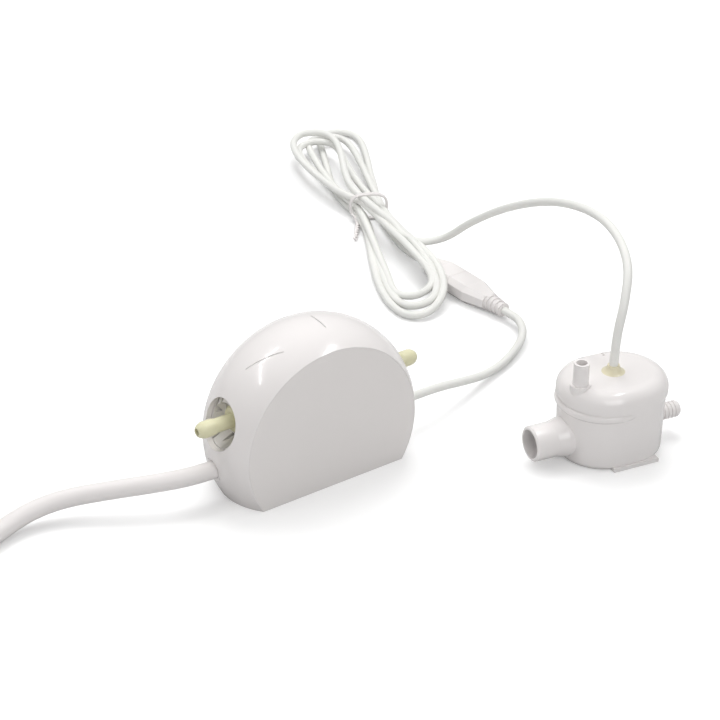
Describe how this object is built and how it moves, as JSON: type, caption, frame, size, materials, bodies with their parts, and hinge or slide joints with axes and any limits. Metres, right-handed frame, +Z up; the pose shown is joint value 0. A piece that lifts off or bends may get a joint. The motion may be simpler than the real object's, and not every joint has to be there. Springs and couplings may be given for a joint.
{
  "type": "condensate pump",
  "caption": "Mini condensate pump: barrel-shaped casing with two hose nozzles, mains lead, plug-in sensor lead and a float-switch reservoir.",
  "frame": {"origin": "centre of the pump casing's flat base", "axes": "+X from inlet nozzle to outlet nozzle, -Y out of the flat front plate, +Z up"},
  "size_m": [0.4583, 0.3816, 0.088],
  "materials": {
    "gloss_white": "gloss",
    "satin_white": "satin",
    "nozzle_green": "translucent gloss",
    "mount_grey": "matte",
    "lead_white": "satin PVC",
    "mains_white": "satin PVC",
    "rubber_black": "matte",
    "bobbin_black": "matte",
    "copper": "enamelled",
    "steel": "brushed",
    "brass": "plain",
    "board_green": "solder mask",
    "aluminium": "satin",
    "magnet": "sintered",
    "glue": "translucent",
    "glass": "clear",
    "core_colours": "PVC"
  },
  "bodies": {
    "pump": {"cover_shell": "gloss_white", "front_plate": "satin_white", "mains_grommet": "mains_white", "lead_grommet": "lead_white", "mains_clamp": "bobbin_black", "lead_clamp": "bobbin_black", "inlet_end_mount": "mount_grey", "outlet_end_mount": "mount_grey", "inlet_nozzle": "nozzle_green", "outlet_nozzle": "nozzle_green", "outlet_valve": "rubber_black", "piston_tube": "steel", "tube_o_rings": "rubber_black", "inlet_spring": "steel", "outlet_spring": "steel", "coil_bobbin": "bobbin_black", "coil_winding": "copper", "coil_yoke": "steel", "thermal_cutout": "bobbin_black", "circuit_board": "board_green", "board_screws": "steel", "terminal_block": "board_green", "capacitors": "aluminium", "control_chip": "bobbin_black", "reservoir_cup": "gloss_white", "filter_screen": "steel", "connector_socket": "gloss_white", "socket_contacts": "brass", "sensor_hank": "lead_white", "cable_tie": "mains_white", "power_cable": "mains_white", "power_cable_coil": "mains_white", "power_cable_tail": "mains_white", "mains_cores": "core_colours", "pump_lead_root": "lead_white", "sensor_tail": "lead_white"},
    "piston": {"piston": "steel", "piston_valve": "rubber_black"},
    "lid": {"reservoir_lid": "gloss_white", "lid_seal": "rubber_black", "sensor_stem": "satin_white", "stem_clip": "steel", "reed_switch": "glass", "glue_bead": "glue", "sensor_arch": "lead_white"},
    "float": {"float_ring": "bobbin_black", "float_magnet": "magnet"},
    "plug": {"connector_plug": "gloss_white", "plug_pins": "brass", "pump_lead": "lead_white"}
  },
  "joints": [
    {"name": "piston_stroke", "type": "slide", "parent": "pump", "child": "piston", "axis": [1, 0, 0], "range_m": [-0.003, 0.003], "stiffness_N_per_m": 150, "deforming": ["inlet_spring", "outlet_spring"]},
    {"name": "lid_lift", "type": "slide", "parent": "pump", "child": "lid", "axis": [0, 0, 1], "range_m": [0, 0.028]},
    {"name": "float_rise", "type": "slide", "parent": "lid", "child": "float", "axis": [0, 0, 1], "range_m": [0, 0.008]},
    {"name": "plug_pull", "type": "slide", "parent": "pump", "child": "plug", "axis": [0, -1, 0], "range_m": [0, 0.01]}
  ]
}
